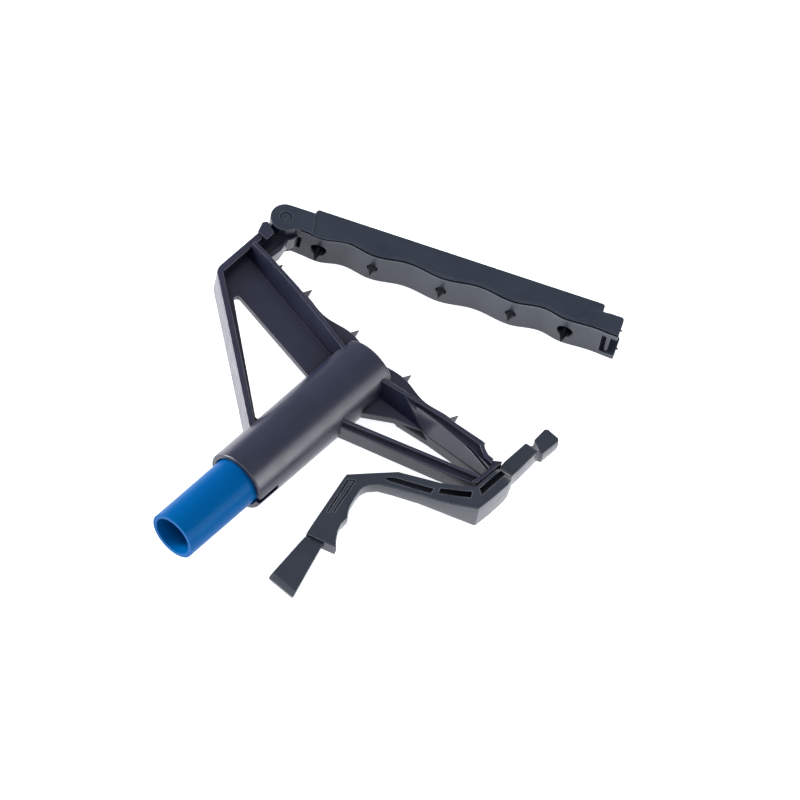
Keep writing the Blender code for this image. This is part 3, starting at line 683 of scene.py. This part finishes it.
def lever_body():
    """Ribbon of six-sided sections from the grip's foot to the hook's head."""
    shape = bmesh.new()
    rings = []
    for inner, outer, half in LEVER_SECTIONS:
        across = (Vector(outer) - Vector(inner)).normalized() * LEVER_DRAFT
        inner_mid = Vector(inner) - across * 0.5
        outer_mid = Vector(outer) + across
        corners = ((inner, -half), (outer, -half), (outer_mid, half * 0.1), (outer, half), (inner, half),
                   (inner_mid, 0.0))
        rings.append([shape.verts.new((*point, z)) for point, z in corners])
    for low, high in zip(rings, rings[1:]):
        for i in range(6):
            j = (i + 1) % 6
            shape.faces.new((low[i], low[j], high[j], high[i]))
    shape.faces.new(list(reversed(rings[0])))
    shape.faces.new(rings[-1])
    bmesh.ops.recalc_face_normals(shape, faces=shape.faces)
    return shape


def grip_groove():
    """Two fine grooves down the grip's front, joined at their top."""
    left = ((119.4, -84.0), (120.2, -83.0), (125.6, -103.8), (124.8, -104.2))
    right = ((121.9, -81.6), (122.7, -81.3), (127.6, -101.6), (126.8, -101.9))
    top = ((119.4, -84.0), (119.9, -82.6), (122.6, -80.9), (122.4, -82.0))
    return [prism(line, 2.7, 9.0) for line in (left, right, top)]


def trigger_lever(material):
    body = lever_body()
    soft(body, LEVER_EDGE, 3, 45.0)
    bmesh.ops.triangulate(body, faces=body.faces)
    item = solid("trigger_moulding", body)
    pockets = [prism(SLOT_A, 1.0, 20.0), prism(SLOT_B, 1.0, 20.0), prism(SLOT_C, 3.2, 20.0)]
    y = PIVOT[1]
    seat = [(160.0, y - 3.9)] + arc(PIVOT, LUG_R + 0.6, -115.0, 115.0, 24) + [(160.0, y + 3.9)]
    pocket = prism(seat, *LEVER_POCKET_Z)
    bore = prism(arc(PIVOT, PIVOT_PIN_R + GAP, 0.0, 345.0, 23), -20.0, PIVOT_PIN_Z[1] + GAP)
    slit = prism(tang_outline(GAP), BLADE_Z[0] - GAP, BLADE_Z[1] + GAP)
    combine(item, "DIFFERENCE", [slit, pocket, bore] + pockets + grip_groove())
    shown(item, "trigger_lever", "lever", material)


def tang_outline(margin):
    """Part of the blade that is held in the grip's slit, which reaches out through the grip's foot."""
    return ((129.6 - margin, -112.6 + margin), (128.4 - margin, -124.0), (136.2 + margin, -124.0),
            (134.4 + margin, -111.0 + margin))


def scraper_blade(material):
    low, high = BLADE_Z
    corners = ((126.4, -121.0, 0.8), (129.8, -150.3, 0.8), (145.6, -149.9, 0.8), (135.6, -118.6, 0.8))
    item = solid("blade", soft(prism(filleted(corners), low, high), 0.2, 2))
    combine(item, "UNION", [prism(tang_outline(0.0), low, high)])
    wedge = hull([(x, y, z) for x, y, z in (
        (120.0, -152.0, high + 1.0), (150.0, -152.0, high + 1.0), (120.0, -152.0, high - 1.4),
        (150.0, -152.0, high - 1.4), (120.0, -146.6, high + 0.02), (150.0, -146.6, high + 0.02),
        (120.0, -146.6, high + 1.0), (150.0, -146.6, high + 1.0))])
    combine(item, "DIFFERENCE", [wedge])
    shown(item, "scraper_blade", "lever", material)


def return_spring(material):
    """Two-turn torsion spring round the pivot pin, with one straight leg out at its start."""
    curve = bpy.data.curves.new("torsion_spring", "CURVE")
    curve.dimensions = "3D"
    curve.bevel_depth = SPRING_WIRE_R
    curve.bevel_resolution = 3
    curve.use_fill_caps = True
    steps = 96
    path = [(-3.7, SPRING_R, -4.5)]
    for i in range(steps + 1):
        angle = math.radians(90.0 - 750.0 * i / steps)
        path.append((SPRING_R * math.cos(angle), SPRING_R * math.sin(angle), -4.5 + 1.5 * i / steps))
    spline = curve.splines.new("POLY")
    spline.points.add(len(path) - 1)
    for point, (x, y, z) in zip(spline.points, path):
        point.co = (x + PIVOT[0], y + PIVOT[1], z, 1.0)
    wire = bpy.data.objects.new("wire", curve)
    bpy.context.scene.collection.objects.link(wire)
    bpy.context.view_layer.update()
    mesh = bpy.data.meshes.new_from_object(wire.evaluated_get(bpy.context.evaluated_depsgraph_get()))
    bpy.data.objects.remove(wire, do_unlink=True)
    item = bpy.data.objects.new("torsion_spring", mesh)
    bpy.context.scene.collection.objects.link(item)
    shown(item, "lever_return_spring", "frame", material)


# Handle and its screw

def handle_tube(material):
    length = HANDLE_TOP - HANDLE_CUT
    inner = HANDLE_R - HANDLE_WALL
    shape = along_y(soft(tube(HANDLE_R, inner, 0.0, length, ROUND), 0.25, 2, 60.0), HANDLE_X, HANDLE_CUT)
    item = solid("blue_tube", shape)
    hole = prism(arc((HANDLE_X, SCREW_Y), SCREW_R + GAP, 0.0, 345.0, 23), -20.0, -6.0)
    combine(item, "DIFFERENCE", [hole])
    shown(item, "handle_tube", "frame", material)


def handle_screw(material):
    head = SCREW_HEAD_R
    profile = [(0.0, -15.7), (head - 0.2, -15.7), (head, -15.5), (head, -14.9), (SCREW_R, -12.9)]
    for z in spread(-12.4, -5.6, 8)[:-1]:
        profile += [(SCREW_R - 0.25, z), (SCREW_R, z + 0.4)]
    profile += [(SCREW_R - 0.25, -5.4), (0.4, -3.6), (0.0, -3.6)]
    item = solid("countersunk_screw", moved(turned(profile, 48), HANDLE_X, SCREW_Y))
    cross = []
    for half_x, half_y in ((2.0, 0.45), (0.45, 2.0)):
        cross.append(hull([(HANDLE_X + a * half_x, SCREW_Y + b * half_y, z)
                           for a in (-1, 1) for b in (-1, 1) for z in (-17.0, -14.6)]))
    combine(item, "DIFFERENCE", cross)
    shown(item, "handle_screw", "frame", material)


# Materials

# Moulded plastic, in metres
CREVICE_REACH = 0.036          # how far off a surface casts painted shade on its neighbour
EDGE_REACH = 0.0011            # width of a scuffed edge with its painted highlight
GRAIN_HEIGHT = 0.00006


class Nodes:
    """Small helper that adds and links the nodes of one material."""

    def __init__(self, name):
        self.material = bpy.data.materials.new(name)
        self.material.use_nodes = True
        self.tree = self.material.node_tree
        self.shader = self.tree.nodes["Principled BSDF"]

    def add(self, kind, **inputs):
        node = self.tree.nodes.new(kind)
        for key, value in inputs.items():
            self.put(node, key, value)
        return node

    def put(self, node, key, value):
        if isinstance(value, bpy.types.NodeSocket):
            self.tree.links.new(value, node.inputs[key])
        else:
            node.inputs[key].default_value = value

    def coordinates(self, scale=(1.0, 1.0, 1.0)):
        place = self.tree.nodes.new("ShaderNodeTexCoord")
        fit = self.add("ShaderNodeMapping", Scale=scale)
        self.tree.links.new(place.outputs["Object"], fit.inputs["Vector"])
        return fit.outputs["Vector"]

    def noise(self, vector, scale, detail=2.0, roughness=0.5):
        node = self.add("ShaderNodeTexNoise", Vector=vector, Scale=scale, Detail=detail, Roughness=roughness)
        return node.outputs["Fac"]

    def ramp(self, value, stops):
        node = self.add("ShaderNodeValToRGB", Fac=value)
        elements = node.color_ramp.elements
        elements[0].position, elements[0].color = stops[0][0], (*stops[0][1], 1.0)
        elements[1].position, elements[1].color = stops[1][0], (*stops[1][1], 1.0)
        return node.outputs["Color"]

    def remap(self, value, low, high, new_low, new_high):
        node = self.tree.nodes.new("ShaderNodeMapRange")
        self.put(node, 0, value)
        for key, number in ((1, low), (2, high), (3, new_low), (4, new_high)):
            node.inputs[key].default_value = number
        return node.outputs[0]

    def math(self, operation, first, second):
        node = self.tree.nodes.new("ShaderNodeMath")
        node.operation = operation
        self.put(node, 0, first)
        self.put(node, 1, second)
        return node.outputs[0]

    def mix(self, factor, first, second):
        node = self.tree.nodes.new("ShaderNodeMix")
        node.data_type = "RGBA"
        self.put(node, 0, factor)
        self.put(node, 6, first)
        self.put(node, 7, second)
        return node.outputs[2]

    def bump(self, height, strength, distance, normal=None):
        node = self.add("ShaderNodeBump", Height=height, Strength=strength, Distance=distance)
        if normal is not None:
            self.tree.links.new(normal, node.inputs["Normal"])
        return node.outputs["Normal"]

    def edges(self, radius, low, high):
        """Mask of the rounded edges: where the bevelled normal leaves the true one."""
        bevel = self.tree.nodes.new("ShaderNodeBevel")
        bevel.samples = 8
        bevel.inputs["Radius"].default_value = radius
        place = self.tree.nodes.new("ShaderNodeNewGeometry")
        dot = self.tree.nodes.new("ShaderNodeVectorMath")
        dot.operation = "DOT_PRODUCT"
        self.tree.links.new(bevel.outputs["Normal"], dot.inputs[0])
        self.tree.links.new(place.outputs["Normal"], dot.inputs[1])
        return self.remap(dot.outputs["Value"], high, low, 0.0, 1.0)

    def crevices(self, distance):
        node = self.add("ShaderNodeAmbientOcclusion", Distance=distance)
        node.samples = 14
        return node.outputs["AO"]


def moulded(name, deep, base, scuff_and_highlight, rough, shine, coat, coat_rough):
    """Satin moulded plastic: fine spark-eroded grain, cloudy tone, painted shade in the crevices and scuffed
    edges with a painted highlight.

    The colours are those of the painted shade in the crevices, of the open faces and of the scuffed,
    painted-highlit edges.
    """
    kit = Nodes(name)
    here = kit.coordinates()
    cloud = kit.noise(here, 70.0, 4.0, 0.6)
    grain = kit.noise(here, 900.0, 3.0, 0.6)
    tone = kit.ramp(cloud, ((0.3, [0.88 * c for c in base]), (0.7, [1.12 * c for c in base])))
    # Painted shade: where other faces crowd close, the colour is mixed towards the dark crevice colour, as
    # if shaded
    open_sky = kit.remap(kit.crevices(CREVICE_REACH), 0.52, 0.86, 0.0, 1.0)
    tone = kit.mix(open_sky, (*deep, 1.0), tone)
    # The rounded edges are lightened: partly scuffing and partly a painted highlight, standing in for the
    # shine along lit edges
    scuffed_and_highlit_edges = kit.math("MULTIPLY", kit.edges(EDGE_REACH, 0.82, 0.95), kit.remap(cloud, 0.35, 0.65, 0.2, 0.65))
    scuff_and_highlight_mask = kit.math("MULTIPLY", scuffed_and_highlit_edges, open_sky)
    kit.put(kit.shader, "Base Color", kit.mix(scuff_and_highlight_mask, tone, (*scuff_and_highlight, 1.0)))
    patchy = kit.noise(here, 160.0, 3.0, 0.55)
    kit.put(kit.shader, "Roughness", kit.remap(patchy, 0.3, 0.7, rough - 0.04, rough + 0.05))
    kit.tree.links.new(kit.bump(grain, 0.06, GRAIN_HEIGHT), kit.shader.inputs["Normal"])
    kit.shader.inputs["Specular IOR Level"].default_value = shine
    kit.shader.inputs["Coat Weight"].default_value = coat
    kit.shader.inputs["Coat Roughness"].default_value = coat_rough
    return kit.material


def fibreglass(name):
    """Glossy blue pultruded tube with fine fibres along its length."""
    kit = Nodes(name)
    fibre = kit.noise(kit.coordinates((2600.0, 45.0, 2600.0)), 1.0, 3.0, 0.6)
    cloud = kit.noise(kit.coordinates((40.0, 14.0, 40.0)), 1.0, 3.0, 0.5)
    tone = kit.ramp(fibre, ((0.3, (0.0, 0.07, 0.245)), (0.7, (0.0, 0.092, 0.29))))
    deep = kit.ramp(cloud, ((0.35, (0.0, 0.066, 0.235)), (0.65, (0.0, 0.09, 0.285))))
    kit.put(kit.shader, "Base Color", kit.mix(0.5, tone, deep))
    kit.put(kit.shader, "Roughness", kit.remap(fibre, 0.3, 0.7, 0.3, 0.4))
    kit.shader.inputs["Specular IOR Level"].default_value = 0.05
    kit.shader.inputs["Specular Tint"].default_value = (0.3, 0.65, 1.0, 1.0)
    kit.shader.inputs["Coat Weight"].default_value = 0.03
    kit.shader.inputs["Coat Roughness"].default_value = 0.1
    kit.tree.links.new(kit.bump(fibre, 0.2, 0.00004), kit.shader.inputs["Normal"])
    return kit.material


def zinc(name):
    """Zinc-plated steel with a cloudy passivated film and fine drawn lines."""
    kit = Nodes(name)
    here = kit.coordinates()
    film = kit.noise(here, 500.0, 4.0, 0.6)
    lines = kit.noise(kit.coordinates((300.0, 300.0, 6000.0)), 1.0, 2.0, 0.5)
    kit.put(kit.shader, "Base Color", kit.ramp(film, ((0.3, (0.42, 0.43, 0.44)), (0.7, (0.68, 0.68, 0.66)))))
    kit.put(kit.shader, "Roughness", kit.remap(film, 0.3, 0.7, 0.24, 0.42))
    kit.shader.inputs["Metallic"].default_value = 1.0
    kit.tree.links.new(kit.bump(lines, 0.3, 0.00003), kit.shader.inputs["Normal"])
    return kit.material


# Studio

MIDDLE = (0.0, 0.0, 0.0)
LOW_MIDDLE = (0.0, 0.0, 0.02)
# Name, place and target in metres, width, height and power
LIGHTS = (
    ("key", (1.0, -0.6, 1.4), MIDDLE, 0.9, 0.9, 7.0),
    ("overhead", (-0.1, -0.6, 1.5), MIDDLE, 0.8, 0.8, 7.0),
    ("low_side", (1.3, 0.45, 0.3), LOW_MIDDLE, 0.38, 1.5, 13.5),
    ("low_back", (-0.4, 1.4, 0.5), LOW_MIDDLE, 1.4, 0.4, 6.0),
    ("low_left", (-1.15, -0.6, 0.22), LOW_MIDDLE, 0.3, 1.3, 38.0),
)
FLOOR_HALF = 6.0
SKY_STRENGTH = 0.3
FLOOR_GLOW = 0.85


def area_light(name, place, target, width, height, power):
    data = bpy.data.lights.new(name, "AREA")
    data.shape = "RECTANGLE"
    data.size = width
    data.size_y = height
    data.energy = power
    item = bpy.data.objects.new(name, data)
    item.location = place
    item.rotation_euler = (Vector(target) - Vector(place)).to_track_quat("-Z", "Y").to_euler()
    bpy.context.scene.collection.objects.link(item)


def studio():
    scene = bpy.context.scene
    scene.view_settings.view_transform = "Standard"
    sky = bpy.data.worlds.new("studio")
    sky.use_nodes = True
    sky.node_tree.nodes["Background"].inputs["Color"].default_value = (0.94, 0.97, 1.0, 1.0)
    sky.node_tree.nodes["Background"].inputs["Strength"].default_value = SKY_STRENGTH
    scene.world = sky
    for name, place, target, width, height, power in LIGHTS:
        area_light(name, place, target, width, height, power)
    half = FLOOR_HALF
    mesh = bpy.data.meshes.new("floor")
    mesh.from_pydata([(-half, -half, 0.0), (half, -half, 0.0), (half, half, 0.0), (-half, half, 0.0)],
                     [], [(0, 1, 2, 3)])
    floor = bpy.data.objects.new("floor", mesh)
    scene.collection.objects.link(floor)
    kit = Nodes("pale_floor")
    faint = kit.noise(kit.coordinates(), 3.0, 2.0, 0.5)
    kit.put(kit.shader, "Base Color", kit.ramp(faint, ((0.3, (0.9, 0.9, 0.9)), (0.7, (0.92, 0.92, 0.92)))))
    kit.shader.inputs["Roughness"].default_value = 0.9
    kit.shader.inputs["Specular IOR Level"].default_value = 0.1
    kit.shader.inputs["Emission Color"].default_value = (0.9, 0.93, 1.0, 1.0)
    kit.shader.inputs["Emission Strength"].default_value = FLOOR_GLOW
    floor.data.materials.append(kit.material)


# Camera: far away with a long lens, above the handle's end and to its right
VIEW_AZIMUTH = -58.273         # degrees
VIEW_ELEVATION = 57.794
VIEW_ROLL = 13.009
VIEW_TARGET = (0.00859, 0.03382, -0.02042)
VIEW_WIDTH = 0.38703           # metres across the view at the target
VIEW_DISTANCE = 12.0


def camera():
    turn = (Matrix.Rotation(math.radians(VIEW_AZIMUTH + 90.0), 4, "Z")
            @ Matrix.Rotation(math.radians(90.0 - VIEW_ELEVATION), 4, "X")
            @ Matrix.Rotation(math.radians(VIEW_ROLL), 4, "Z"))
    data = bpy.data.cameras.new("camera")
    data.sensor_width = 36.0
    data.lens = data.sensor_width * VIEW_DISTANCE / VIEW_WIDTH
    data.clip_end = 50.0
    data.dof.use_dof = False
    item = bpy.data.objects.new("camera", data)
    back_off = Matrix.Translation((0.0, 0.0, VIEW_DISTANCE))
    item.matrix_world = Matrix.Translation(VIEW_TARGET) @ turn @ back_off
    bpy.context.scene.collection.objects.link(item)
    bpy.context.scene.camera = item


def build():
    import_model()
    studio()
    camera()
    # Each plastic's deep colour is painted shade for its crevices; its edge colour is partly scuffing and
    # partly a painted highlight
    slate = moulded("slate_plastic", deep=(0.002, 0.003, 0.012), base=(0.018, 0.0205, 0.042),
                    scuff_and_highlight=(0.17, 0.18, 0.22), rough=0.32, shine=0.5, coat=0.25, coat_rough=0.28)
    jaw_slate = moulded("jaw_slate_plastic", deep=(0.004, 0.006, 0.014), base=(0.024, 0.032, 0.048),
                        scuff_and_highlight=(0.16, 0.17, 0.2), rough=0.34, shine=0.25, coat=0.12, coat_rough=0.28)
    lever_slate = moulded("lever_slate_plastic", deep=(0.003, 0.005, 0.012), base=(0.021, 0.027, 0.041),
                          scuff_and_highlight=(0.27, 0.28, 0.31), rough=0.3, shine=0.5, coat=0.3, coat_rough=0.24)
    dark_slate = moulded("stud_plastic", deep=(0.001, 0.002, 0.005), base=(0.004, 0.006, 0.012),
                         scuff_and_highlight=(0.006, 0.008, 0.012), rough=0.36, shine=0.12, coat=0.05, coat_rough=0.28)
    blue = fibreglass("blue_fibreglass")
    steel = zinc("zinc_steel")
    head_frame(slate)
    handle_tube(blue)
    handle_screw(steel)
    gripping_jaw(jaw_slate)
    jaw_spikes(dark_slate)
    end_stud("hinge_side_stud", "end_stud_hinge_side", STUD_U[0], dark_slate)
    end_stud("latch_side_stud", "end_stud_latch_side", STUD_U[1], dark_slate)
    round_pin("hinge_pin", "jaw_hinge_pin", "jaw", PIN_R, -JAW_Z + 0.2, JAW_Z - 0.2, 0.3,
              jaw_slate, JAW_TURN)
    trigger_lever(lever_slate)
    scraper_blade(lever_slate)
    round_pin("pivot_pin", "lever_pivot_pin", "frame", PIVOT_PIN_R, PIVOT_PIN_Z[0],
              PIVOT_PIN_Z[1], 0.2, steel, Matrix.Translation((PIVOT[0], PIVOT[1], 0.0)))
    return_spring(steel)


build()
